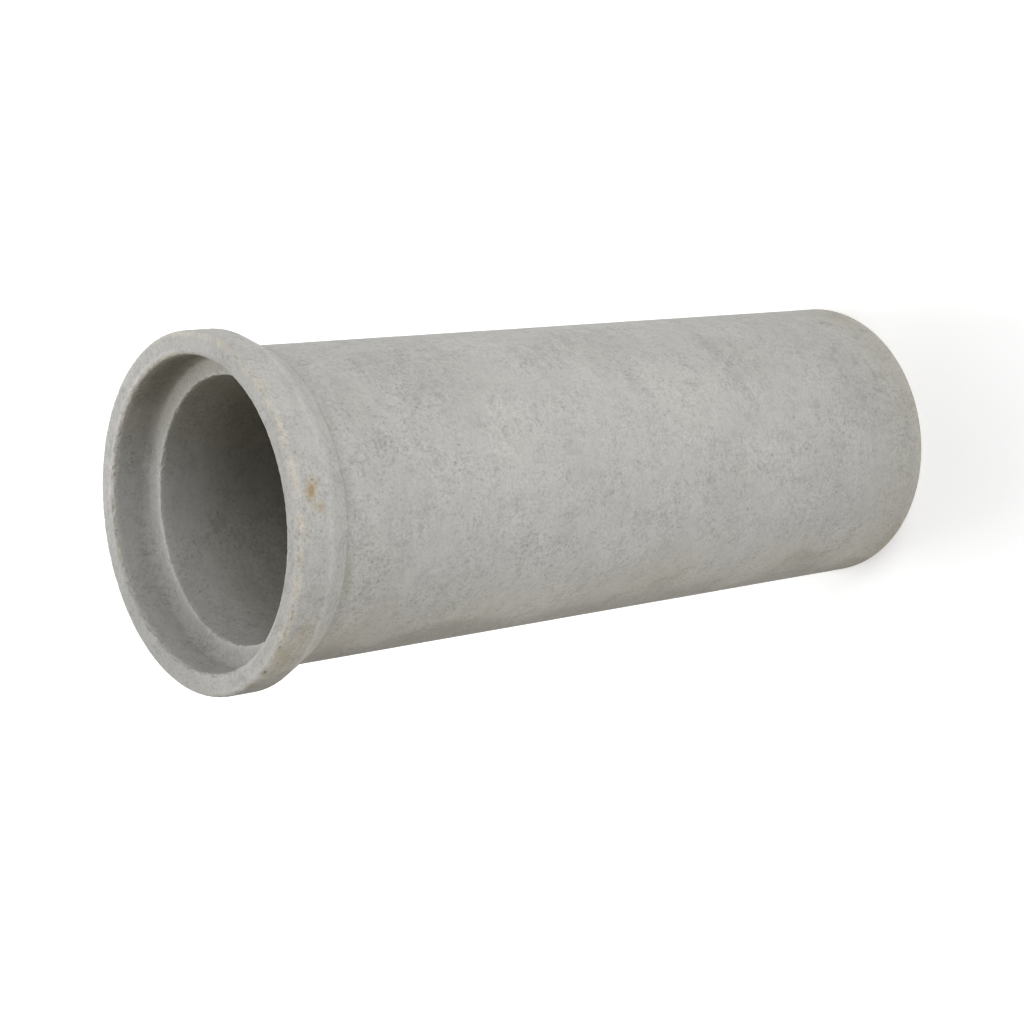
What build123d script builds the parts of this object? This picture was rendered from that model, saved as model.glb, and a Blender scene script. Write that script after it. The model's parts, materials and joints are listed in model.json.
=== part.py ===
from build123d import *
import os

# Concrete sewer pipe, cast in one piece: a plain barrel with a socket in a thicker collar at one end.
# Lying down it would roll, so it stands on its plain end, with the collar at the top.
# The pipe's axis is Z. The origin is on the floor, at the middle of the plain end. Sizes are in millimetres.

# Barrel
BORE_DIAMETER = 300.0
WALL_THICKNESS = 30.5
OVERALL_LENGTH = 1010.0

# Socket in the collar's face, wider than the bore by the shoulder that it ends on
SHOULDER_WIDTH = 25.0
SOCKET_DEPTH = 48.0

# Collar: the wall round the socket, a straight band, then a sloping back down to a small ledge on the barrel
COLLAR_WALL_THICKNESS = 27.0
COLLAR_BAND_LENGTH = 40.0
COLLAR_SLOPE_LENGTH = 35.0
COLLAR_LEDGE_HEIGHT = 4.0

# Rounded edges, as radii
FACE_EDGE_ROUNDING = 6.0
MOUTH_EDGE_ROUNDING = 4.5
BAND_BACK_ROUNDING = 8.0
SOCKET_CORNER_FILLET = 9.0
SHOULDER_EDGE_ROUNDING = 2.0
PLAIN_END_ROUNDING = 3.0

bore_radius = BORE_DIAMETER / 2
barrel_radius = bore_radius + WALL_THICKNESS
socket_radius = bore_radius + SHOULDER_WIDTH
collar_radius = socket_radius + COLLAR_WALL_THICKNESS
ledge_radius = barrel_radius + COLLAR_LEDGE_HEIGHT

face_height = OVERALL_LENGTH
shoulder_height = face_height - SOCKET_DEPTH
band_back_height = face_height - COLLAR_BAND_LENGTH
ledge_height = band_back_height - COLLAR_SLOPE_LENGTH


def wall_profile():
    """Half section of the wall, as radius and height, with its edges rounded."""
    end_inner_edge = (bore_radius, 0)
    end_outer_edge = (barrel_radius, 0)
    ledge_corner = (barrel_radius, ledge_height)
    ledge_edge = (ledge_radius, ledge_height)
    band_back = (collar_radius, band_back_height)
    face_edge = (collar_radius, face_height)
    mouth_edge = (socket_radius, face_height)
    socket_corner = (socket_radius, shoulder_height)
    shoulder_edge = (bore_radius, shoulder_height)
    outline = Polyline(
        end_inner_edge,
        end_outer_edge,
        ledge_corner,
        ledge_edge,
        band_back,
        face_edge,
        mouth_edge,
        socket_corner,
        shoulder_edge,
        close=True,
    )
    roundings = [
        (end_inner_edge, PLAIN_END_ROUNDING),
        (end_outer_edge, PLAIN_END_ROUNDING),
        (band_back, BAND_BACK_ROUNDING),
        (face_edge, FACE_EDGE_ROUNDING),
        (mouth_edge, MOUTH_EDGE_ROUNDING),
        (socket_corner, SOCKET_CORNER_FILLET),
        (shoulder_edge, SHOULDER_EDGE_ROUNDING),
    ]
    profile = make_face(outline)
    for corner, radius in roundings:
        vertex = profile.vertices().sort_by_distance(corner)[0]
        profile = fillet(vertex, radius)
    return profile


# The half section is turned once round the axis.
pipe = revolve(Plane.XZ * wall_profile(), axis=Axis.Z, revolution_arc=360)

os.makedirs("parts", exist_ok=True)
export_step(pipe, "parts/pipe.step")

box = pipe.bounding_box()
print(f"pipe: {box.size.X:.1f} x {box.size.Y:.1f} x {box.size.Z:.1f} mm")
print(f"volume {pipe.volume / 1e9:.5f} cubic metres")
print(f"collar across {2 * collar_radius:.1f} mm, barrel across {2 * barrel_radius:.1f} mm")
print(f"socket across {2 * socket_radius:.1f} mm")
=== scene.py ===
# %% [markdown]
# # A concrete sewer pipe
#
# This lesson dresses one concrete pipe. The real thing is cast in one piece from a stiff, sandy mix: a
# plain barrel, and at one end a thicker collar with a stepped socket turned into its face. The
# construction is already settled, so the script first loads it as a fixed frame, and takes every size
# that it can from there.

# %% The fixed frame
import json
import math

import bmesh
import bpy
from mathutils import Matrix, Vector


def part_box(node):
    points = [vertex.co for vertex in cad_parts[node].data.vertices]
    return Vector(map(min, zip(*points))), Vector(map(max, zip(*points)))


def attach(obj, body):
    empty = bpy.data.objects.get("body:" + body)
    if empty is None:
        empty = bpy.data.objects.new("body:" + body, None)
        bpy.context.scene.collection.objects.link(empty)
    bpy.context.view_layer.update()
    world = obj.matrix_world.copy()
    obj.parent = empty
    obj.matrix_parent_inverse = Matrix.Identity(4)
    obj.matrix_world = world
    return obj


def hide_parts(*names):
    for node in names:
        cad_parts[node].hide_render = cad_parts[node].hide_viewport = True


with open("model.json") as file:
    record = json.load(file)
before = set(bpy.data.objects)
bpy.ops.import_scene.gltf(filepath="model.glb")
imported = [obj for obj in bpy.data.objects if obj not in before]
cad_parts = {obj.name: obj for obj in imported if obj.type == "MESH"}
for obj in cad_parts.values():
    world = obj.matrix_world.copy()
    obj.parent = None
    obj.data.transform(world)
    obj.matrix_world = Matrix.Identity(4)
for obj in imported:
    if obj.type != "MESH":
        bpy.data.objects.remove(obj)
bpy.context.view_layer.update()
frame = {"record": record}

# %% [markdown]
# ## Sizes
#
# The record says where the pipe's round walls are, in millimetres, so the radii come from there. The
# script works in metres. The pipe stands on its plain end: its axis is Z, the floor is at zero and the
# collar is at the top. Only the sizes that the record has no word for are written here.

# %% Sizes of the pipe
MM = 0.001
mounts = {mount["name"]: mount for mount in frame["record"]["mounts"]}
bore_radius = mounts["bore"]["dims"]["r_mm"] * MM
barrel_radius = mounts["barrel"]["dims"]["r_mm"] * MM
socket_radius = mounts["socket"]["dims"]["r_mm"] * MM
high_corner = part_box("pipe")[1]
pipe_length = high_corner.z
collar_radius = high_corner.x

SOCKET_DEPTH = 48 * MM
COLLAR_BAND_LENGTH = 40 * MM
COLLAR_SLOPE_LENGTH = 35 * MM
COLLAR_LEDGE_HEIGHT = 4 * MM
FACE_EDGE_ROUNDING = 6 * MM
MOUTH_EDGE_ROUNDING = 4.5 * MM
BAND_BACK_ROUNDING = 8 * MM
SOCKET_CORNER_FILLET = 9 * MM
SHOULDER_EDGE_ROUNDING = 2 * MM
PLAIN_END_ROUNDING = 3 * MM

shoulder_height = pipe_length - SOCKET_DEPTH
band_back_height = pipe_length - COLLAR_BAND_LENGTH
ledge_height = band_back_height - COLLAR_SLOPE_LENGTH
ledge_radius = barrel_radius + COLLAR_LEDGE_HEIGHT
print(f"length {pipe_length:.3f} m, bore {bore_radius:.4f} m, barrel {barrel_radius:.4f} m")
print(f"socket {socket_radius:.4f} m, collar {collar_radius:.4f} m")

# %% [markdown]
# ## The camera
#
# A long lens, about 78 mm, looks at the pipe from some two and a half metres. The view is described by
# two things as the lens sees them: where the middle of the collar's face is, in metres, and how the
# pipe's axis runs from there. It swings away from the line of sight by about 50 degrees and climbs a
# little across the picture. A round pipe that lies down rolls away, so here it stands on end. The camera
# could stay level and show it standing, but it is turned with the pipe, so that the picture still shows
# the pipe as it would lie on the ground.

# %% The camera
LENS_MM = 78.04
AXIS_SWING = math.radians(50.367)
AXIS_CLIMB = math.radians(5.850)
FACE_CENTRE_IN_VIEW = Vector((-0.3482, -0.0036, -2.4248))


def view_basis():
    """The row frame's X, Y and Z, as the camera sees them. Its own X is right, Y up and -Z forwards."""
    down_the_pipe = Vector((
        math.sin(AXIS_SWING) * math.cos(AXIS_CLIMB),
        math.sin(AXIS_CLIMB),
        -math.cos(AXIS_SWING) * math.cos(AXIS_CLIMB),
    ))
    z_axis = -down_the_pipe
    forwards = Vector((0, 0, -1))
    y_axis = (forwards - forwards.dot(z_axis) * z_axis).normalized()
    return Matrix((y_axis.cross(z_axis), y_axis, z_axis))


to_row = view_basis()
camera_place = Vector((0, 0, pipe_length)) - to_row @ FACE_CENTRE_IN_VIEW
camera_data = bpy.data.cameras.new("camera")
camera_data.lens = LENS_MM
camera = bpy.data.objects.new("camera", camera_data)
bpy.context.scene.collection.objects.link(camera)
camera.matrix_world = Matrix.Translation(camera_place) @ to_row.to_4x4()
bpy.context.scene.camera = camera
print("camera at", [round(v, 3) for v in camera_place])

# %% [markdown]
# ## Formulas as nodes
#
# A node tree is a formula drawn as boxes. It could be wired by hand, but a long formula is easier to
# read and to change as text. Two small classes allow that. A wire is one output of a node, and
# arithmetic on wires adds Math nodes. Every other node comes from one method, which takes the node's
# type, its settings and what goes into its sockets.


# %% Wires
class Wire:
    """One output of a node. Arithmetic on it, from either side, adds Math nodes to its graph."""

    def __init__(self, graph, socket):
        self.graph = graph
        self.socket = socket

    def twin(self, output):
        """Another output of the same node."""
        return Wire(self.graph, self.socket.node.outputs[output])

    def math(self, operation, *others):
        return self.graph.add("ShaderNodeMath", {"operation": operation}, [self, *others])

    def swapped(self, operation, other):
        """The same with the wire as the second value, for the reflected operators."""
        return self.graph.add("ShaderNodeMath", {"operation": operation}, [other, self])

    def __add__(self, other):
        return self.math("ADD", other)

    def __radd__(self, other):
        return self.swapped("ADD", other)

    def __sub__(self, other):
        return self.math("SUBTRACT", other)

    def __rsub__(self, other):
        return self.swapped("SUBTRACT", other)

    def __mul__(self, other):
        return self.math("MULTIPLY", other)

    def __rmul__(self, other):
        return self.swapped("MULTIPLY", other)

    def __truediv__(self, other):
        return self.math("DIVIDE", other)

    def __rtruediv__(self, other):
        return self.swapped("DIVIDE", other)

    def __gt__(self, other):
        return self.math("GREATER_THAN", other)

    def __lt__(self, other):
        return self.math("LESS_THAN", other)


print("wires ready")


# %% Graphs
MIX_FACTOR = 0
MIX_FIRST_COLOUR = 6
MIX_SECOND_COLOUR = 7
MIX_COLOUR_RESULT = 2


class Graph:
    """A node tree, of a material or of Geometry Nodes, with one method that adds any node."""

    def __init__(self, tree):
        self.tree = tree

    def add(self, kind, settings=None, sockets=(), output=0):
        """Adds a node and returns one output. Items is how many values an Index Switch holds."""
        node = self.tree.nodes.new(kind)
        for name, value in (settings or {}).items():
            if name == "items":
                for _ in range(value - len(node.index_switch_items)):
                    node.index_switch_items.new()
            else:
                setattr(node, name, value)
        pairs = sockets.items() if isinstance(sockets, dict) else enumerate(sockets)
        for key, value in pairs:
            if isinstance(value, Wire):
                self.tree.links.new(value.socket, node.inputs[key])
            else:
                node.inputs[key].default_value = value
        return Wire(self, node.outputs[output])

    def store(self, geometry, name, value, kind="FLOAT"):
        """Keeps a value on each point of a geometry, under a name."""
        sockets = {"Geometry": geometry, "Name": name, "Value": value}
        settings = {"data_type": kind, "domain": "POINT"}
        return self.add("GeometryNodeStoreNamedAttribute", settings, sockets)

    def stored(self, name, kind="FLOAT"):
        """Reads such a value back."""
        return self.add("GeometryNodeInputNamedAttribute", {"data_type": kind}, {"Name": name})

    def vector(self, x, y, z):
        return self.add("ShaderNodeCombineXYZ", sockets=[x, y, z])

    def parts(self, vector):
        """The X, Y and Z of a vector."""
        x = self.add("ShaderNodeSeparateXYZ", sockets=[vector])
        return x, x.twin("Y"), x.twin("Z")

    def vector_math(self, operation, *values, output=0):
        return self.add("ShaderNodeVectorMath", {"operation": operation}, values, output)

    def length(self, vector):
        return self.vector_math("LENGTH", vector, output=1)

    def scaled(self, vector, amount):
        return self.add("ShaderNodeVectorMath", {"operation": "SCALE"}, {0: vector, "Scale": amount})

    def noise(self, place, scale, detail=2.0, roughness=0.5, stretch=None, seed=0.0):
        """Noise from 0 to 1. Scale is in grains per metre, and stretch is a factor along each axis."""
        if stretch:
            place = self.vector_math("MULTIPLY", place, stretch)
        place = self.vector_math("ADD", place, (seed, 0.0, 0.0))
        sockets = {"Vector": place, "Scale": scale, "Detail": detail, "Roughness": roughness}
        return self.add("ShaderNodeTexNoise", {"noise_dimensions": "3D"}, sockets)

    def step(self, value, low, high):
        """0 below low, 1 above high, and a smooth rise between. It falls where low is the larger one."""
        sockets = {"Value": value, "From Min": low, "From Max": high}
        if low > high:
            sockets = {"Value": value, "From Min": high, "From Max": low, "To Min": 1.0, "To Max": 0.0}
        return self.add("ShaderNodeMapRange", {"interpolation_type": "SMOOTHSTEP"}, sockets)

    def blend(self, factor, first, second, mode="MIX"):
        """Mixes two colours. The Mix node's sockets share their names, so they are taken by number."""
        settings = {"data_type": "RGBA", "blend_type": mode}
        sockets = {MIX_FACTOR: factor, MIX_FIRST_COLOUR: first, MIX_SECOND_COLOUR: second}
        return self.add("ShaderNodeMix", settings, sockets, MIX_COLOUR_RESULT)

    def tell(self, what):
        print(f"{what}: {len(self.tree.nodes)} nodes so far")


def at_least(least, amount):
    """An amount from 0 to 1, squeezed so that it runs from the least value to 1."""
    return least + (1 - least) * amount


print("graphs ready")

# %% [markdown]
# ## The turned pipe
#
# The real pipe gets its shape from a mould and a turning head, so it is a section swept once round an
# axis. The section could be drawn by hand and turned with the Spin tool or the Screw modifier, but then
# its sizes would be lost in the drawing. Geometry Nodes can hold the rule instead. The nine corners of
# the wall's half section, with six points between them where the spacing changes, are worked out from
# the sizes, joined, rounded and swept round a circle. Two values are stored on the way, the place on
# the section and the turn round the axis, so a formula can put every point in place. The section gets
# close points at the collar's edges and wide ones along the barrel, so that the detail goes where the
# eye does.

# %% The tree's inputs
TURN_STEPS = 560
ROUNDING_STEPS = 5
pipe_inputs = {
    "Bore Radius": bore_radius,
    "Barrel Radius": barrel_radius,
    "Socket Radius": socket_radius,
    "Collar Radius": collar_radius,
    "Ledge Radius": ledge_radius,
    "Length": pipe_length,
    "Shoulder Height": shoulder_height,
    "Band Back Height": band_back_height,
    "Ledge Height": ledge_height,
    "Fine Reach": 12 * MM,
    "Face Rounding": FACE_EDGE_ROUNDING,
    "Mouth Rounding": MOUTH_EDGE_ROUNDING,
    "Band Rounding": BAND_BACK_ROUNDING,
    "Socket Fillet": SOCKET_CORNER_FILLET,
    "Shoulder Rounding": SHOULDER_EDGE_ROUNDING,
    "Plain End Rounding": PLAIN_END_ROUNDING,
    "Edge Spacing": 1.3 * MM,
    "Collar Spacing": 3.2 * MM,
    "Barrel Spacing": 24 * MM,
    "Bore Spacing": 60 * MM,
    "Waviness": 0.5 * MM,
    "Edge Wear": 3.4 * MM,
    "Grit": 1.1 * MM,
    "Rub": 1.9 * MM,
}


def open_tree(name, sizes):
    """A Geometry Nodes tree with a named input for each size. Returns its graph and its inputs."""
    tree = bpy.data.node_groups.new(name, "GeometryNodeTree")
    tree.interface.new_socket("Geometry", in_out="OUTPUT", socket_type="NodeSocketGeometry")
    for label in sizes:
        tree.interface.new_socket(label, in_out="INPUT", socket_type="NodeSocketFloat")
    tree.interface.new_socket("Finish", in_out="INPUT", socket_type="NodeSocketMaterial")
    graph = Graph(tree)
    entry = tree.nodes.new("NodeGroupInput")
    return graph, {socket.name: Wire(graph, socket) for socket in entry.outputs if socket.name}


turned, inputs = open_tree("turned_pipe", pipe_inputs)
turned.tell(f"{len(inputs)} inputs")


# %% The half section
def section_corners(size):
    """Across, up, rounding and the spacing of points on the run that follows, from corner to corner."""
    below_shoulder = size["Shoulder Height"] - size["Fine Reach"]
    below_mouth = size["Length"] - size["Fine Reach"]
    past_mouth = size["Socket Radius"] + size["Fine Reach"]
    below_ledge = size["Ledge Height"] - size["Fine Reach"]
    fine = size["Edge Spacing"]
    middling = size["Collar Spacing"]
    return [
        (size["Bore Radius"], 0.0, size["Plain End Rounding"], middling),
        (size["Bore Radius"], size["Fine Reach"], 0.0, size["Bore Spacing"]),
        (size["Bore Radius"], below_shoulder, 0.0, fine),
        (size["Bore Radius"], size["Shoulder Height"], size["Shoulder Rounding"], middling),
        (size["Socket Radius"], size["Shoulder Height"], size["Socket Fillet"], middling),
        (size["Socket Radius"], below_mouth, 0.0, fine),
        (size["Socket Radius"], size["Length"], size["Mouth Rounding"], fine),
        (past_mouth, size["Length"], 0.0, middling),
        (size["Collar Radius"], size["Length"], size["Face Rounding"], middling),
        (size["Collar Radius"], size["Band Back Height"], size["Band Rounding"], middling),
        (size["Ledge Radius"], size["Ledge Height"], 0.0, fine),
        (size["Barrel Radius"], size["Ledge Height"], 0.0, middling),
        (size["Barrel Radius"], below_ledge, 0.0, size["Barrel Spacing"]),
        (size["Barrel Radius"], size["Fine Reach"], 0.0, middling),
        (size["Barrel Radius"], 0.0, size["Plain End Rounding"], middling),
    ]


def choose(graph, kind, values):
    """The value whose place in the list is the point's own index."""
    index = graph.add("GeometryNodeInputIndex")
    numbered = {i + 1: value for i, value in enumerate(values)}
    settings = {"data_type": kind, "items": len(values)}
    return graph.add("GeometryNodeIndexSwitch", settings, {0: index, **numbered})


def section_curve(graph, size):
    """The wall's half section as a closed curve with rounded corners: X is the radius and Y the height."""
    across, up, roundings, spacings = zip(*section_corners(size))
    corners = [graph.vector(x, y, 0.0) for x, y in zip(across, up)]
    line = graph.add("GeometryNodeMeshLine", sockets={"Count": len(corners)})
    sockets = {"Geometry": line, "Position": choose(graph, "VECTOR", corners)}
    line = graph.add("GeometryNodeSetPosition", sockets=sockets)
    line = graph.store(line, "spacing", choose(graph, "FLOAT", spacings))
    line = graph.store(line, "rounding", choose(graph, "FLOAT", roundings))
    curve = graph.add("GeometryNodeMeshToCurve", sockets=[line])
    curve = graph.add("GeometryNodeSetSplineCyclic", sockets={"Geometry": curve, "Cyclic": True})
    radius = graph.stored("rounding")
    steps = (radius > 0.0) * ROUNDING_STEPS
    sockets = {"Curve": curve, "Radius": radius, "Count": steps, "Limit Radius": True}
    return graph.add("GeometryNodeFilletCurve", {"mode": "POLY"}, sockets)


section = section_curve(turned, inputs)
turned.tell("rounded section")


# %% Close points and wide points
def refine_section(graph, curve):
    """Cuts each run of the section into steps that are as long as the spacing stored on it."""
    place = graph.add("GeometryNodeInputPosition")
    sockets = {"Point Index": graph.add("GeometryNodeInputIndex"), "Offset": 1}
    following = graph.add("GeometryNodeOffsetPointInCurve", sockets=sockets, output=1)
    sockets = {"Value": place, "Index": following}
    next_place = graph.add("GeometryNodeFieldAtIndex", {"data_type": "FLOAT_VECTOR"}, sockets)
    run = graph.vector_math("DISTANCE", place, next_place, output=1)
    cuts = (run / graph.stored("spacing")).math("FLOOR")
    return graph.add("GeometryNodeSubdivideCurve", sockets={"Curve": curve, "Cuts": cuts})


section = refine_section(turned, section)
turned.tell("spaced section")


# %% The sweep round the axis
def sweep_section(graph, curve):
    """Sweeps the section round a circle, then puts each point in place by its two stored values."""
    place = graph.add("GeometryNodeInputPosition")
    index = graph.add("GeometryNodeInputIndex")
    profile = graph.store(curve, "section", place, "FLOAT_VECTOR")
    sockets = {"Resolution": TURN_STEPS, "Radius": 1.0}
    circle = graph.add("GeometryNodeCurvePrimitiveCircle", sockets=sockets)
    circle = graph.store(circle, "turn", index * (2 * math.pi / TURN_STEPS))
    sockets = {"Curve": circle, "Profile Curve": profile}
    mesh = graph.add("GeometryNodeCurveToMesh", sockets=sockets)
    turn = graph.stored("turn")
    radius, height, _ = graph.parts(graph.stored("section", "FLOAT_VECTOR"))
    round_place = graph.vector(radius * turn.math("COSINE"), radius * turn.math("SINE"), height)
    return graph.add("GeometryNodeSetPosition", sockets={"Geometry": mesh, "Position": round_place})


swept = sweep_section(turned, section)
turned.tell("swept wall")

# %% [markdown]
# ## Waves and worn edges
#
# Cast concrete is never quite true. The mould leaves a slow waviness, the sharp edges of the mouth and
# the collar crumble when the mould comes off, and one side of the mouth has been rubbed blunt. These
# could be carved with sculpting brushes, but a formula can be changed later. The waves and the
# crumbling are noise, dug in along the surface's normal, so the pipe never grows out of its
# construction. The rub moves the mouth's edge slantwise, outwards and down, as a chamfer would. An edge
# is found by how near a point is to a corner of the section.
#
# Three kinds of numbers come back from here on. A noise has a recipe: its scale in grains per metre, how
# much detail it has, how rough that detail is, and a seed that moves it elsewhere. A span says where a
# smooth step starts and where it ends. Angles are in degrees round the axis: in the picture 0 is the top
# of the pipe, 180 its underside, -90 the side towards the camera and 90 the far side.

# %% Waves, worn edges and grit
WAVES = {"scale": 9.0, "detail": 2.0, "stretch": (1, 1, 1.6), "seed": 1.0}
NICKS = {"scale": 150.0, "detail": 3.0, "roughness": 0.65, "seed": 4.0}
NICKS_SPAN = (0.47, 0.70)
CRUMBS = {"scale": 240.0, "detail": 2.0, "roughness": 0.8, "seed": 7.0}
MOUTH_REACH = 9 * MM
FACE_REACH = 11 * MM
BORE_EDGE_REACH = 7 * MM
FACE_WEAR = 0.25
BORE_EDGE_WEAR = 0.65
LEAST_MOUTH_WEAR = 0.35
WORN_ANGLE = math.radians(125)
WORN_SPAN = (-0.3, 0.6)
RUBBED_ANGLE = math.radians(-90)
RUBBED_SPAN = (-0.2, 0.6)


def edge_nearness(graph, corner_place, radius, height, reach):
    """1 at a corner of the section, falling to 0 at the given reach."""
    across, up, _ = graph.parts(corner_place)
    to_corner = graph.length(graph.vector(across - radius, up - height, 0.0))
    return graph.step(to_corner, reach, 0.0)


def roughen(graph, size, mesh):
    """Digs the waves, the nicks along the edges and the grit into the mesh, and blunts the mouth."""
    place = graph.add("GeometryNodeInputPosition")
    normal = graph.add("GeometryNodeInputNormal")
    turn = graph.stored("turn")
    on_section = graph.stored("section", "FLOAT_VECTOR")
    mouth = edge_nearness(graph, on_section, size["Socket Radius"], size["Length"], MOUTH_REACH)
    face = edge_nearness(graph, on_section, size["Collar Radius"], size["Length"], FACE_REACH)
    shoulder = size["Shoulder Height"]
    bore_edge = edge_nearness(graph, on_section, size["Bore Radius"], shoulder, BORE_EDGE_REACH)

    worn_side = graph.step((turn - WORN_ANGLE).math("COSINE"), *WORN_SPAN)
    mouth_wear = mouth * at_least(LEAST_MOUTH_WEAR, worn_side)
    worn = (mouth_wear + FACE_WEAR * face + BORE_EDGE_WEAR * bore_edge).math("MINIMUM", 1.0)
    nicks = graph.step(graph.noise(place, **NICKS), *NICKS_SPAN)
    crumbs = graph.noise(place, **CRUMBS)
    waves = graph.noise(place, **WAVES)
    dig = size["Waviness"] * waves + worn * (size["Edge Wear"] * nicks + size["Grit"] * crumbs)
    dug = graph.scaled(normal, 0.0 - dig)

    rubbed_side = graph.step((turn - RUBBED_ANGLE).math("COSINE"), *RUBBED_SPAN)
    blunting = mouth * rubbed_side * size["Rub"] * math.sqrt(0.5)
    slantwise = graph.vector(turn.math("COSINE"), turn.math("SINE"), -1.0)
    offset = graph.vector_math("ADD", dug, graph.scaled(slantwise, blunting))
    return graph.add("GeometryNodeSetPosition", sockets={"Geometry": mesh, "Offset": offset})


rough = roughen(turned, inputs, swept)
turned.tell("waves and worn edges")


# %% The end of the tree
def close_tree(graph, mesh, finish):
    """Smooths the shading, gives the mesh its finish and hands it out."""
    mesh = graph.add("GeometryNodeSetShadeSmooth", sockets={"Geometry": mesh, "Shade Smooth": True})
    mesh = graph.add("GeometryNodeRealizeInstances", sockets=[mesh])
    mesh = graph.add("GeometryNodeSetMaterial", sockets={"Geometry": mesh, "Material": finish})
    leave = graph.tree.nodes.new("NodeGroupOutput")
    graph.tree.links.new(mesh.socket, leave.inputs["Geometry"])


close_tree(turned, rough, inputs["Finish"])
turned.tell("finished tree")

# %% [markdown]
# ## The concrete
#
# Dry-cast concrete is matt and sandy: a light grey, barely warm, freckled with darker grains and
# pinholes, with faint rings left by the turning head that packed it. It could be painted on an image,
# but a round wall has seams, and an image has only so many pixels. Noise that is worked out in space
# has neither limit. Sand has no single size, so the grain is two noises, a coarse and a fine one, whose
# octaves keep nearly their full strength. Both are cut off at a small brightness, because dark grains
# stand out of concrete and light ones hardly do, and both are stronger in some patches than in others.

# %% Grain, clouds and rings
PATCHES = {"scale": 18.0, "detail": 2.0, "roughness": 0.6, "seed": 11.0}
PATCHES_SPAN = (0.34, 0.66)
GRAIN = {"scale": 45.0, "detail": 3.0, "roughness": 0.95, "seed": 5.0}
GRAIN_WEIGHT = 0.42
GRAIN_PATCH_WEIGHT = 0.40
SAND = {"scale": 240.0, "detail": 2.0, "roughness": 1.0, "seed": 10.0}
SAND_WEIGHT = 0.40
SAND_PATCH_WEIGHT = 0.68
LIGHTEST_GRAIN = 0.07
CLOUDS = {"scale": 9.0, "detail": 2.0, "seed": 2.0}
CLOUD_WEIGHT = 0.16
TURNING_RINGS = {"scale": 5.0, "detail": 3.0, "roughness": 0.75, "stretch": (1, 1, 12), "seed": 3.0}
RING_WEIGHT = 0.16


def centred(graph, place, recipe):
    """Noise from -0.5 to 0.5."""
    return graph.noise(place, **recipe) - 0.5


def concrete_tone(graph, place):
    """How light the bare concrete is at a place, about 1."""
    patches = graph.step(graph.noise(place, **PATCHES), *PATCHES_SPAN)
    grain = centred(graph, place, GRAIN).math("MINIMUM", LIGHTEST_GRAIN)
    sand = centred(graph, place, SAND).math("MINIMUM", LIGHTEST_GRAIN)
    tone = 1.0 + grain * (GRAIN_WEIGHT + GRAIN_PATCH_WEIGHT * patches)
    tone = tone + sand * (SAND_WEIGHT + SAND_PATCH_WEIGHT * patches)
    tone = tone + centred(graph, place, CLOUDS) * CLOUD_WEIGHT
    return tone + centred(graph, place, TURNING_RINGS) * RING_WEIGHT


concrete = bpy.data.materials.new("sandy_concrete")
concrete.use_nodes = True
concrete.node_tree.nodes.clear()
paint = Graph(concrete.node_tree)
place = paint.add("ShaderNodeTexCoord", output="Object")
tone = concrete_tone(paint, place)
paint.tell("grain, clouds and rings")

# %% [markdown]
# Dark grains of sand and pinholes lie in loose clusters on the real wall. Holes could be cut into the
# mesh, but at a millimetre or two they are cheaper as colour with a little relief. A slow noise says
# where the grains gather. The cells of a Voronoi texture place the pinholes, and each cell's own random
# colour says whether it has one.

# %% Dark grains and pinholes
CLUSTERS = {"scale": 14.0, "detail": 1.0, "seed": 8.0}
CLUSTERS_SPAN = (0.42, 0.62)
DARK_GRAINS = {"scale": 260.0, "detail": 1.0, "roughness": 0.7, "seed": 9.0}
DARK_GRAINS_SPAN = (0.57, 0.72)
GRAIN_DARKNESS = 0.17
LEAST_GRAIN_CROWD = 0.3
HOLE_CELLS_PER_METRE = 95.0
HOLE_SPAN = (0.16, 0.06)
CELLS_WITHOUT_HOLE = 0.55
HOLE_DARKNESS = 0.26
LEAST_HOLE_CROWD = 0.15


def dark_grains(graph, place, clusters):
    """1 in a dark grain of sand, and less where they don't gather."""
    grains = graph.step(graph.noise(place, **DARK_GRAINS), *DARK_GRAINS_SPAN)
    return grains * at_least(LEAST_GRAIN_CROWD, clusters)


def pinholes(graph, place):
    """1 in a pinhole and 0 around it."""
    settings = {"voronoi_dimensions": "3D", "feature": "F1"}
    sockets = {"Vector": place, "Scale": HOLE_CELLS_PER_METRE}
    distance = graph.add("ShaderNodeTexVoronoi", settings, sockets, "Distance")
    lottery = graph.parts(distance.twin("Color"))[0]
    return graph.step(distance, *HOLE_SPAN) * (lottery > CELLS_WITHOUT_HOLE)


clusters = paint.step(paint.noise(place, **CLUSTERS), *CLUSTERS_SPAN)
holes = pinholes(paint, place)
tone = tone - GRAIN_DARKNESS * dark_grains(paint, place, clusters)
tone = tone - HOLE_DARKNESS * holes * at_least(LEAST_HOLE_CROWD, clusters)
paint.tell("grains and pinholes")

# %% [markdown]
# The middle of the barrel is a little lighter than its two ends. This is painted light and painted
# shade along the length. A lamp could do that, but it would light the floor as well. Two long smooth
# steps along the height do it in the colour, and the tone then multiplies the one grey of the concrete.

# %% The painted long shade and the grey
CONCRETE_GREY = (0.386, 0.380, 0.361, 1)
# Painted light in the middle of the barrel and painted shade towards the plain end.
LENGTHWISE_PAINTED_SHADE = 0.06
LIGHTER_BELOW_COLLAR = (0.9, 0.62)
DARKER_TO_THE_END = (0.34, 0.04)

height = paint.parts(place)[2]
tone = tone + LENGTHWISE_PAINTED_SHADE * paint.step(height, *LIGHTER_BELOW_COLLAR)
tone = tone - LENGTHWISE_PAINTED_SHADE * paint.step(height, *DARKER_TO_THE_END)
colour = paint.blend(1.0, CONCRETE_GREY, paint.vector(tone, tone, tone), "MULTIPLY")
paint.tell("bare concrete")
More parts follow.
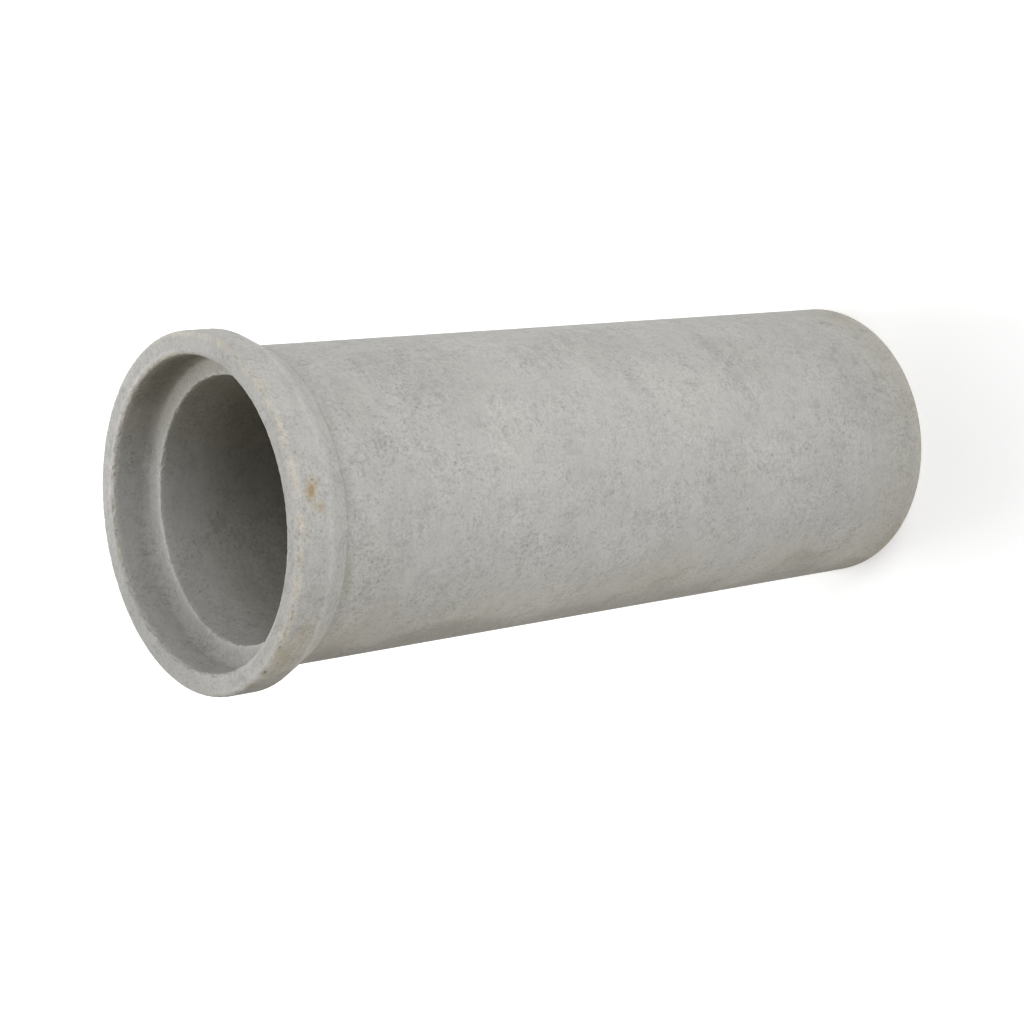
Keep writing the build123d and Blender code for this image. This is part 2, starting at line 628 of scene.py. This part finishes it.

# %% [markdown]
# ## Wide stains, painted light and painted shade
#
# The pipe has lain on the ground, so one side is tinted by soil, and so are the rim of the plain end
# and one side of the bore. The socket's walls are tinted by damp, and a brown stain lies in painted
# shade under the top of the mouth's rim. The rest is painted light and shade: a painted shadow along
# the underside of the barrel and at the foot of the collar, painted light on one side of the collar's
# face and painted shade on the other, painted light on the shoulder, on the lower side of the socket
# wall and in the bore near the mouth, and painted shade low on the socket wall. These could be painted
# by hand, but every one of them keeps to a wall and a side, so each is a tint that is blended in by two
# masks. The first says which wall a place is on, by its height and its distance from the axis. The
# second says how squarely it faces an angle. The edge of the soil tint and of the painted shadow under
# the barrel is pushed about by a slow noise, so that it is ragged. A belt is two heights and the
# distance over which it fades beyond them. A side is an angle and the span of the cosine over which its
# mask rises.

# %% Where the walls are
FACE_SPAN = (pipe_length - 5 * MM, pipe_length - 2 * MM)
OUTSIDE_SPAN = (socket_radius + 1 * MM, barrel_radius - 1 * MM)
INSIDE_SPAN = (barrel_radius, socket_radius + 2 * MM)
BORE_SPAN = (bore_radius + 6 * MM, bore_radius + 1 * MM)
SOCKET_SPAN = (socket_radius - 8 * MM, socket_radius - 2 * MM)
UNDER_MOUTH_SPAN = (pipe_length - 8 * MM, pipe_length - 18 * MM)
SHOULDER_BELT = (shoulder_height - 1 * MM, shoulder_height + 3 * MM, 5 * MM)
WALL_FOOT_BELT = (shoulder_height + 12 * MM, shoulder_height + 16 * MM, 14 * MM)
WALL_BELT = (pipe_length - 30 * MM, pipe_length - 4 * MM, 8 * MM)


def level(graph, place):
    """The part of a place that is square to the axis: X and Y without the height."""
    return graph.vector_math("MULTIPLY", place, (1, 1, 0))


def belt(graph, value, low, high, soft):
    """1 from low to high, fading out within the soft distance beyond them."""
    return graph.step(value, low - soft, low) * graph.step(value, high + soft, high)


across = paint.length(level(paint, place))
face = paint.step(height, *FACE_SPAN)
outside = paint.step(across, *OUTSIDE_SPAN) * (1.0 - face)
inside = paint.step(across, *INSIDE_SPAN)
bore = paint.step(across, *BORE_SPAN)
near_socket_wall = paint.step(across, *SOCKET_SPAN)
shoulder = inside * belt(paint, height, *SHOULDER_BELT) * (1.0 - near_socket_wall)
wall = inside * belt(paint, height, *WALL_BELT)
wall_foot = inside * belt(paint, height, *WALL_FOOT_BELT) * (1.0 - shoulder)
under_mouth = near_socket_wall * inside * paint.step(height, *UNDER_MOUTH_SPAN)
paint.tell("masks of the walls")

# %% Which way the wall faces
DRIFT = {"scale": 11.0, "detail": 1.0}
DRIFT_REACH = (0.11, 0.11, 0.0)
HALF = (0.5, 0.5, 0.5)


def towards(graph, place):
    """Which way a place lies from the axis, as a vector of length 1."""
    return graph.vector_math("NORMALIZE", level(graph, place))


def side(graph, direction, degrees, low, high):
    """1 on the side of the pipe that faces an angle, 0 away from it, by the cosine of the turn."""
    angle = math.radians(degrees)
    aim = (math.cos(angle), math.sin(angle), 0.0)
    return graph.step(graph.vector_math("DOT_PRODUCT", direction, aim, output=1), low, high)


def drifted(graph, place):
    """A place pushed about sideways by a slow noise."""
    drift = graph.noise(place, **DRIFT).twin("Color")
    drift = graph.vector_math("MULTIPLY", graph.vector_math("SUBTRACT", drift, HALF), DRIFT_REACH)
    return graph.vector_math("ADD", place, drift)


plain_way = towards(paint, place)
ragged_way = towards(paint, drifted(paint, place))
paint.tell("directions")

# %% Wide stains, painted light and painted shade
SOIL_TINT = (1.0, 0.965, 0.885, 1)
SOIL_SIDE = (180, 0.5, 1.0)
# Painted shadow along the underside of the barrel, the side it lay on.
UNDERSIDE_PAINTED_SHADOW = (0.77, 0.77, 0.77, 1)
UNDERSIDE = (184, 0.86, 0.99)
END_TINT = (1.0, 0.988, 0.952, 1)
END_TINT_SPAN = (85 * MM, 35 * MM)
# Painted shade all round the barrel and slope at the foot of the collar.
FOOT_PAINTED_SHADE = (0.86, 0.86, 0.855, 1)
COLLAR_FOOT_BELT = (ledge_height, ledge_height + 15 * MM, 22 * MM)
FACE_PALE = (1.10, 1.10, 1.10, 1)
# Painted light on one side of the collar's face and painted shade on the other.
FACE_PAINTED_LIGHT = (1.11, 1.11, 1.11, 1)
FACE_LIT_SIDE = (40, 0.1, 0.9)
FACE_PAINTED_SHADE = (0.93, 0.93, 0.93, 1)
FACE_SHADED_SIDE = (132, 0.6, 0.95)
# Painted light on the socket's shoulder, strongest on one side.
SHOULDER_PAINTED_LIGHT = (1.24, 1.24, 1.24, 1)
SHOULDER_LIT_SIDE = (40, -0.4, 0.95)
# Painted light on the lower side of the socket wall.
WALL_PAINTED_LIGHT = (1.11, 1.11, 1.11, 1)
WALL_LIT_SIDE = (160, 0.7, 0.97)
# Painted shade low on the socket wall, near its corner with the shoulder.
WALL_FOOT_PAINTED_SHADE = (0.92, 0.92, 0.92, 1)
WALL_FOOT_SIDE = (80, 0.0, 0.5)
# Painted shade with a brown stain in it, on the socket wall under the top of the mouth's rim.
CROWN_PAINTED_SHADE_AND_STAIN = (0.76, 0.75, 0.73, 1)
CROWN_SIDE = (10, 0.8, 0.98)
# Painted light in the bore near the mouth, fading deeper in.
BORE_PAINTED_LIGHT = (1.14, 1.14, 1.14, 1)
BORE_MOUTH_SPAN = (pipe_length - 150 * MM, pipe_length - 80 * MM)
DEEP_TINT = (1.0, 0.985, 0.94, 1)
DAMP_TINT = (1.0, 0.955, 0.85, 1)
DAMP_SIDE = (0, 0.2, 1.0)
SHOULDER_DRYNESS = 0.55

near_mouth = paint.step(height, *BORE_MOUTH_SPAN)
deep = paint.step(height, *reversed(BORE_MOUTH_SPAN))
damp = side(paint, plain_way, *DAMP_SIDE) * (1.0 - SHOULDER_DRYNESS * shoulder)
stains_and_painted_light = (
    (side(paint, ragged_way, *SOIL_SIDE) * outside, SOIL_TINT),
    (side(paint, ragged_way, *UNDERSIDE) * outside, UNDERSIDE_PAINTED_SHADOW),
    (paint.step(height, *END_TINT_SPAN) * outside, END_TINT),
    (belt(paint, height, *COLLAR_FOOT_BELT) * outside, FOOT_PAINTED_SHADE),
    (face, FACE_PALE),
    (side(paint, plain_way, *FACE_LIT_SIDE) * face, FACE_PAINTED_LIGHT),
    (side(paint, plain_way, *FACE_SHADED_SIDE) * face, FACE_PAINTED_SHADE),
    (side(paint, plain_way, *SHOULDER_LIT_SIDE) * shoulder, SHOULDER_PAINTED_LIGHT),
    (side(paint, plain_way, *WALL_LIT_SIDE) * wall, WALL_PAINTED_LIGHT),
    (side(paint, plain_way, *WALL_FOOT_SIDE) * wall_foot, WALL_FOOT_PAINTED_SHADE),
    (side(paint, plain_way, *CROWN_SIDE) * under_mouth, CROWN_PAINTED_SHADE_AND_STAIN),
    (bore * near_mouth, BORE_PAINTED_LIGHT),
    (bore * deep, DEEP_TINT),
    (damp * inside, DAMP_TINT),
)


def tinted(graph, colour, stains):
    """Multiplies the colour by each tint, as strongly as its mask says."""
    for amount, tint in stains:
        colour = graph.blend(amount, colour, tint, "MULTIPLY")
    return colour


colour = tinted(paint, colour, stains_and_painted_light)
paint.tell(f"{len(stains_and_painted_light)} wide stains")

# %% [markdown]
# ## Rings of wear and painted light
#
# Other wear and some painted light follow the pipe's own edges, all the way round: the collar's outer
# edge is rubbed pale and a little warm, with thin brown dashes on it, and painted light lies on one
# side of it. Painted light lies on one side of the mouth's edge, a painted shadow line with brown dirt
# fills the crease at the foot of the collar, and painted light makes the plain end's edge pale. An edge
# could be picked out by how sharp it is, but that finds all edges alike. An edge of a turned shape is a
# circle round the axis, and so one point in the half section, and the distance from that point gives a
# ring for each edge by itself.

# %% Rings of wear and painted light
EDGE_PALE = (1.15, 1.12, 1.07, 1)
# Painted light on one side of the collar's outer edge.
EDGE_PAINTED_LIGHT = (1.11, 1.11, 1.105, 1)
EDGE_LIT_SIDE = (-118, 0.3, 0.9)
EDGE_WARM = (1.0, 0.989, 0.968, 1)
EDGE_WARM_SIDE = (-50, -0.3, 0.6)
# Painted light on one side of the mouth's edge.
MOUTH_PAINTED_LIGHT = (1.16, 1.16, 1.17, 1)
MOUTH_LIT_SIDE = (42, 0.4, 0.95)
LINE_BROWN = (0.82, 0.76, 0.66, 1)
# A painted shadow line with brown dirt in it, at the step at the foot of the collar.
CREASE_PAINTED_SHADOW_AND_DIRT = (0.84, 0.82, 0.755, 1)
LEAST_CREASE = 0.35
# Painted light on the edge of the plain end.
END_EDGE_PAINTED_LIGHT = (1.08, 1.07, 1.05, 1)
BLOTCHES = {"scale": 60.0, "detail": 2.0, "roughness": 0.7, "seed": 12.0}
BLOTCHES_SPAN = (0.42, 0.64)
LEAST_BLOTCH = 0.3
DASHES = {"scale": 170.0, "detail": 1.0, "roughness": 0.7, "seed": 13.0}
DASHES_SPAN = (0.52, 0.66)
edge_turn = FACE_EDGE_ROUNDING * (1 - math.sqrt(0.5))
RIM = (collar_radius - edge_turn, pipe_length - edge_turn)
CREASE = (barrel_radius + COLLAR_LEDGE_HEIGHT / 2, ledge_height)
LIP = (socket_radius + 2 * MM, pipe_length - 2 * MM)
END_EDGE = (barrel_radius, 0.0)


def ring(graph, circle, inner_mm, outer_mm):
    """1 within the inner reach of a circle round the axis, and 0 beyond the outer one."""
    radius, ring_height = circle
    apart = graph.length(graph.vector(across - radius, height - ring_height, 0.0))
    return graph.step(apart, outer_mm * MM, inner_mm * MM)


blotches = paint.step(paint.noise(place, **BLOTCHES), *BLOTCHES_SPAN)
dashes = paint.step(paint.noise(place, **DASHES), *DASHES_SPAN)
lit_edge_side = side(paint, plain_way, *EDGE_LIT_SIDE)
warm_edge_side = side(paint, plain_way, *EDGE_WARM_SIDE)
lit_mouth_side = side(paint, plain_way, *MOUTH_LIT_SIDE)
wear_and_painted_light_rings = (
    (ring(paint, RIM, 2, 6.5) * at_least(LEAST_BLOTCH, blotches), EDGE_PALE),
    (ring(paint, RIM, 4, 11) * lit_edge_side, EDGE_PAINTED_LIGHT),
    (ring(paint, RIM, 3, 13) * blotches * warm_edge_side, EDGE_WARM),
    (ring(paint, LIP, 4, 8) * lit_mouth_side, MOUTH_PAINTED_LIGHT),
    (ring(paint, RIM, 0.4, 2.2) * dashes, LINE_BROWN),
    (ring(paint, CREASE, 2.4, 5.2) * at_least(LEAST_CREASE, dashes), CREASE_PAINTED_SHADOW_AND_DIRT),
    (ring(paint, END_EDGE, 7, 15), END_EDGE_PAINTED_LIGHT),
)
colour = tinted(paint, colour, wear_and_painted_light_rings)
paint.tell(f"{len(wear_and_painted_light_rings)} rings of wear")

# %% [markdown]
# ## Single marks
#
# Some marks are one of a kind: the rust spot on the collar's band with its halo and tail, rust dots and
# dark slits along the edges, olive and grey smudges on the barrel. Each could be a decal, a small image
# laid on the wall, but a soft round patch says as much and can be moved by changing a number. The marks
# are listed under their tint, and each row tells where the mark is and how large: the radius of its
# wall, its angle in degrees, its height in millimetres, its size around and along the pipe in
# millimetres, and its tilt in degrees. A coarse noise makes their edges ragged.

# %% The list of marks
RUST = (0.84, 0.715, 0.56, 1)
RUST_HALO = (0.97, 0.89, 0.76, 1)
RUST_PALE = (0.95, 0.88, 0.78, 1)
YELLOWED = (0.965, 0.94, 0.855, 1)
OLIVE = (0.93, 0.94, 0.86, 1)
PINKISH = (1.0, 0.967, 0.93, 1)
PINK_BROWN = (0.90, 0.82, 0.76, 1)
PALE = (1.09, 1.08, 1.065, 1)
DIRT = (0.91, 0.91, 0.905, 1)
GREYER = (0.94, 0.94, 0.935, 1)
LIGHTER = (1.05, 1.05, 1.045, 1)
SOILED = (1.0, 0.985, 0.96, 1)
DARK_SLIT = (0.64, 0.59, 0.50, 1)
OUTER = collar_radius
MOUTH = socket_radius + 1.5 * MM
marks = {
    RUST_HALO: [
        (OUTER, -88.0, 989.5, 21.0, 11.0, -12),
        (OUTER, -92.8, 982.0, 10.0, 8.0, 20),
    ],
    RUST: [
        (OUTER, -88.2, 989.6, 10.0, 5.6, -8),
    ],
    RUST_PALE: [
        (OUTER, -92.8, 981.0, 3.0, 2.4, 20),
        (OUTER, -126.6, 1006.4, 5.0, 2.4, 0),
        (OUTER, -139.5, 1006.0, 7.0, 4.0, 0),
        (OUTER, -152.0, 1005.0, 5.0, 3.0, 0),
        (OUTER, -160.5, 1006.0, 8.0, 4.0, 0),
    ],
    PINK_BROWN: [
        (MOUTH, 70.0, 1007.6, 4.0, 2.0, 0),
        (MOUTH, 82.2, 1007.6, 4.0, 2.0, 0),
        (MOUTH, 89.0, 1007.6, 3.0, 2.0, 0),
        (MOUTH, 96.0, 1007.6, 4.0, 2.0, 0),
    ],
    DARK_SLIT: [
        (OUTER, -84.9, 986.4, 2.2, 1.8, 0),
        (OUTER, -124.9, 1007.2, 3.4, 1.6, 0),
        (OUTER, -127.5, 1006.8, 2.2, 1.4, 0),
        (OUTER, -138.8, 1007.4, 4.2, 1.6, 0),
        (OUTER, -151.2, 1006.6, 3.2, 1.8, 0),
        (socket_radius, 69.5, 1007.0, 2.4, 1.8, 0),
        (socket_radius, 82.2, 1007.0, 2.4, 1.8, 0),
        (socket_radius, 91.0, 1007.0, 2.4, 1.8, 0),
    ],
    YELLOWED: [
        (OUTER, -144.0, 994.0, 30.0, 13.0, 0),
        (OUTER, -134.0, 984.0, 20.0, 9.0, 0),
    ],
    OLIVE: [
        (barrel_radius, -66.5, 934.0, 9.0, 5.0, 0),
        (barrel_radius, -120.0, 927.0, 34.0, 8.0, 0),
    ],
    DIRT: [
        (barrel_radius, -43.0, 316.0, 50.0, 13.0, 0),
        (barrel_radius, -62.0, 308.0, 30.0, 15.0, 0),
    ],
    GREYER: [
        (barrel_radius, -44.0, 775.0, 75.0, 110.0, 0),
        (barrel_radius, -62.0, 890.0, 90.0, 34.0, 0),
        (barrel_radius, -107.0, 360.0, 70.0, 70.0, 0),
        (barrel_radius, -50.0, 268.0, 60.0, 60.0, 0),
        (barrel_radius, -37.0, 498.0, 50.0, 100.0, 0),
        (barrel_radius, -66.0, 108.0, 70.0, 45.0, 0),
    ],
    LIGHTER: [
        (barrel_radius, -140.0, 690.0, 60.0, 150.0, 0),
        (barrel_radius, -122.0, 820.0, 70.0, 70.0, 0),
        (barrel_radius, -74.0, 690.0, 60.0, 45.0, 0),
        (barrel_radius, -67.0, 400.0, 60.0, 70.0, 0),
    ],
    SOILED: [
        (barrel_radius, -136.0, 900.0, 110.0, 60.0, 0),
        (barrel_radius, -127.0, 75.0, 80.0, 55.0, 0),
        (OUTER, -138.0, 985.0, 90.0, 34.0, 0),
    ],
    PINKISH: [
        (OUTER, -96.4, 1006.6, 7.0, 3.0, 0),
        (OUTER, -85.3, 1006.0, 5.0, 2.4, 0),
        (OUTER, -108.0, 1004.0, 9.0, 3.4, 0),
        (OUTER, -52.0, 1004.0, 16.0, 6.0, 0),
        (OUTER, -30.0, 1005.0, 16.0, 5.0, 0),
        (OUTER, -100.0, 1001.0, 14.0, 8.0, 0),
        (MOUTH, 66.0, 1008.6, 24.0, 3.4, 0),
        (MOUTH, 82.0, 1008.6, 26.0, 3.4, 0),
        (MOUTH, 98.0, 1008.6, 24.0, 3.4, 0),
        (barrel_radius, -30.0, 30.0, 24.0, 20.0, 0),
        (barrel_radius, -142.0, 12.0, 40.0, 9.0, 0),
    ],
    PALE: [
        (OUTER, -97.0, 1005.5, 10.0, 4.5, 0),
        (OUTER, -134.0, 1006.0, 26.0, 4.5, 0),
        (OUTER, -116.0, 1006.0, 20.0, 4.5, 0),
        (OUTER, -68.0, 1004.0, 20.0, 5.0, 0),
        (MOUTH, 76.0, 1008.6, 16.0, 3.0, 0),
        (MOUTH, 100.0, 1008.6, 16.0, 3.0, 0),
    ],
}
print("marks:", sum(len(group) for group in marks.values()), "in", len(marks), "tints")

# %% Marks as soft patches
RAGGED = {"scale": 110.0, "detail": 2.0, "roughness": 0.7, "seed": 15.0}
RAGGEDNESS = 1.6
MARK_SPAN = (1.2, 0.3)
DEPTH_PER_LENGTH = 2
DEPTH_PER_SAG = 1.5


def from_spot(graph, place, radius, degrees, height_mm, around_mm, along_mm, tilt_degrees):
    """Distance from a spot of a round wall, as a share of the spot's sizes around and along the pipe."""
    angle = math.radians(degrees)
    around = around_mm * MM
    along = along_mm * MM
    outwards = Vector((math.cos(angle), math.sin(angle), 0))
    turn = Matrix.Rotation(math.radians(tilt_degrees), 3, outwards)
    sideways = turn @ Vector((-math.sin(angle), math.cos(angle), 0))
    up = turn @ Vector((0, 0, 1))
    # The wall curves away from under a wide spot, so such a spot has to reach deeper.
    sag = around * around / radius
    depth = max(DEPTH_PER_LENGTH * along, DEPTH_PER_SAG * sag)
    sockets = {
        "Vector": place,
        "Location": outwards * radius + Vector((0, 0, height_mm * MM)),
        "Rotation": Matrix((outwards, sideways, up)).transposed().to_euler("XYZ"),
        "Scale": (depth, around, along),
    }
    return graph.length(graph.add("ShaderNodeMapping", {"vector_type": "TEXTURE"}, sockets))


def nearest_spot(graph, place, spots):
    """Distance from whichever of the spots is nearest."""
    nearest, *others = [from_spot(graph, place, *spot) for spot in spots]
    for other in others:
        nearest = nearest.math("MINIMUM", other)
    return nearest


ragged = centred(paint, place, RAGGED) * RAGGEDNESS
single_marks = [
    (paint.step(nearest_spot(paint, place, spots) + ragged, *MARK_SPAN), tint)
    for tint, spots in marks.items()
]
colour = tinted(paint, colour, single_marks)
paint.tell(f"{len(single_marks)} tints of marks")

# %% [markdown]
# ## The finish and the piece
#
# Raw concrete hardly shines, so the finish is nearly as rough as it can be. Its sandy relief is under a
# millimetre high. It could be real geometry, but that would take millions of triangles, so a Bump node
# bends the light instead, and the pinholes are sunk into it. The tree is then run once, on an empty
# mesh, and the result is kept as a plain mesh, which any other program can read.

# %% The concrete finish
RELIEF = {"scale": 330.0, "detail": 2.0, "roughness": 0.8, "seed": 6.0}
HOLE_DEPTH = 1.2
RELIEF_STRENGTH = 0.6
RELIEF_HEIGHT = 0.45 * MM
CONCRETE_ROUGHNESS = 0.92
CONCRETE_SPECULAR = 0.3

relief = paint.noise(place, **RELIEF) - holes * HOLE_DEPTH
sockets = {"Strength": RELIEF_STRENGTH, "Distance": RELIEF_HEIGHT, "Height": relief}
bent_normal = paint.add("ShaderNodeBump", sockets=sockets)
sockets = {
    "Base Color": colour,
    "Roughness": CONCRETE_ROUGHNESS,
    "Specular IOR Level": CONCRETE_SPECULAR,
    "Normal": bent_normal,
}
shader = paint.add("ShaderNodeBsdfPrincipled", sockets=sockets)
leave = paint.tree.nodes.new("ShaderNodeOutputMaterial")
paint.tree.links.new(shader.socket, leave.inputs["Surface"])
paint.tell("finished concrete")


# %% The piece
def plain_mesh(name, tree, values):
    """Runs a tree once on an empty mesh and keeps the result as a plain mesh object of that name."""
    maker = bpy.data.objects.new(name + "_maker", bpy.data.meshes.new(name + "_maker"))
    bpy.context.scene.collection.objects.link(maker)
    modifier = maker.modifiers.new("nodes", "NODES")
    modifier.node_group = tree
    for socket in tree.interface.items_tree:
        if socket.name in values:
            modifier[socket.identifier] = values[socket.name]
    evaluated = maker.evaluated_get(bpy.context.evaluated_depsgraph_get())
    mesh = bpy.data.meshes.new_from_object(evaluated)
    mesh.name = name
    bpy.data.objects.remove(maker)
    made = bpy.data.objects.new(name, mesh)
    bpy.context.scene.collection.objects.link(made)
    return made


def volume_and_open_edges(mesh):
    """The volume, positive where the normals point outwards, and how many edges are open."""
    shell = bmesh.new()
    shell.from_mesh(mesh)
    volume = shell.calc_volume(signed=True)
    open_edges = sum(not edge.is_manifold for edge in shell.edges)
    shell.free()
    return volume, open_edges


pipe = plain_mesh("concrete_pipe", turned.tree, {**pipe_inputs, "Finish": concrete})
volume, open_edges = volume_and_open_edges(pipe.data)
triangles = sum(len(polygon.vertices) - 2 for polygon in pipe.data.polygons)
print(f"pipe: {triangles} triangles, volume {volume:.5f} cubic metres, {open_edges} open edges")
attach(pipe, "root")
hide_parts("pipe")

# %% [markdown]
# ## Floor and light
#
# The floor is a wide pale disc without gloss. A white disc alone would turn grey away from the lamps,
# so it glows a little and stays as white as studio paper. Under the pipe it doesn't glow, or light
# would well up through the bore.

# %% The floor
FLOOR_RADIUS = 40.0
FLOOR_SIDES = 96
FLOOR_GLOW = 0.38
FLOOR_WHITE = (0.9, 0.9, 0.9, 1)
FLOOR_ROUGHNESS = 0.9


def make_floor():
    """A wide disc that glows a little, except within the pipe's foot."""
    shell = bmesh.new()
    bmesh.ops.create_circle(shell, cap_ends=True, radius=FLOOR_RADIUS, segments=FLOOR_SIDES)
    mesh = bpy.data.meshes.new("floor")
    shell.to_mesh(mesh)
    shell.free()
    material = bpy.data.materials.new("pale_floor")
    material.use_nodes = True
    graph = Graph(material.node_tree)
    from_middle = graph.length(graph.add("ShaderNodeTexCoord", output="Object"))
    glow = graph.step(from_middle, bore_radius, barrel_radius)
    shader = material.node_tree.nodes["Principled BSDF"]
    shader.inputs["Base Color"].default_value = FLOOR_WHITE
    shader.inputs["Roughness"].default_value = FLOOR_ROUGHNESS
    shader.inputs["Specular IOR Level"].default_value = 0.0
    shader.inputs["Emission Strength"].default_value = FLOOR_GLOW
    graph.tree.links.new(graph.vector(glow, glow, glow).socket, shader.inputs["Emission Color"])
    mesh.materials.append(material)
    made = bpy.data.objects.new("floor", mesh)
    bpy.context.scene.collection.objects.link(made)
    return made


floor = make_floor()
print(f"floor: {2 * FLOOR_RADIUS:.0f} m across")

# %% [markdown]
# The photo's light is soft and comes from everywhere, as under a bright overcast sky. An image of a
# real sky could give that, but a small formula is easier to steer. The surround is dim overhead and
# white at the horizon, like a room with paper walls. It is so even that it needn't be sampled as a
# lamp, which saves render time.

# %% The surround
ZENITH_GREY = (0.10, 0.10, 0.10, 1)
HORIZON_WHITE = (0.55, 0.55, 0.55, 1)
HORIZON_SPAN = (0.02, 0.22)


def make_surround():
    """A world that is white at the horizon and dim overhead."""
    world = bpy.data.worlds.new("studio")
    world.use_nodes = True
    graph = Graph(world.node_tree)
    climb = graph.parts(graph.add("ShaderNodeTexCoord", output="Generated"))[2]
    shade = graph.blend(graph.step(climb, *HORIZON_SPAN), HORIZON_WHITE, ZENITH_GREY)
    graph.tree.links.new(shade.socket, world.node_tree.nodes["Background"].inputs["Color"])
    world.cycles.sampling_method = "NONE"
    return world


bpy.context.scene.world = make_surround()
print("surround:", bpy.context.scene.world.name)

# %% [markdown]
# The shape of the shading comes from nine large softboxes. Spot lamps would draw hard edges that the
# photo doesn't have. The key and a weak one above it stand over the near side of the pipe, two light
# the collar's face from above and behind, and five fill the front, the underside and the clean side.
# Each row has a place and a power in watts.

# %% The softboxes
SOFTBOX_SIZE = 1.8
softboxes = {
    "key": ((2.0, -2.0, 2.45), 39.7),
    "key_top": ((1.6, -1.6, 3.21), 5.2),
    "over_collar": ((0.0, 0.83, 4.04), 45.7),
    "behind_collar": ((0.0, 2.83, 2.45), 56.9),
    "front_fill": ((0.0, -3.2, 0.5), 20.5),
    "front_high": ((0.0, -3.15, 1.51), 9.6),
    "soil_side_fill": ((-2.23, -2.23, 1.51), 13.8),
    "clean_side_fill": ((3.2, 0.0, 0.5), 8.0),
    "clean_side_back": ((2.26, 2.26, 0.5), 26.0),
}


def softbox(name, place, aim, power):
    """A square area light at place that faces aim."""
    data = bpy.data.lights.new(name, "AREA")
    data.size = SOFTBOX_SIZE
    data.energy = power
    light = bpy.data.objects.new(name, data)
    bpy.context.scene.collection.objects.link(light)
    light.location = place
    light.rotation_mode = "QUATERNION"
    light.rotation_quaternion = (Vector(aim) - Vector(place)).to_track_quat("-Z", "Y")


middle_of_pipe = (0, 0, pipe_length / 2)
for name, (light_place, power) in softboxes.items():
    softbox(name, light_place, middle_of_pipe, power)
bpy.context.scene.view_settings.view_transform = "Standard"
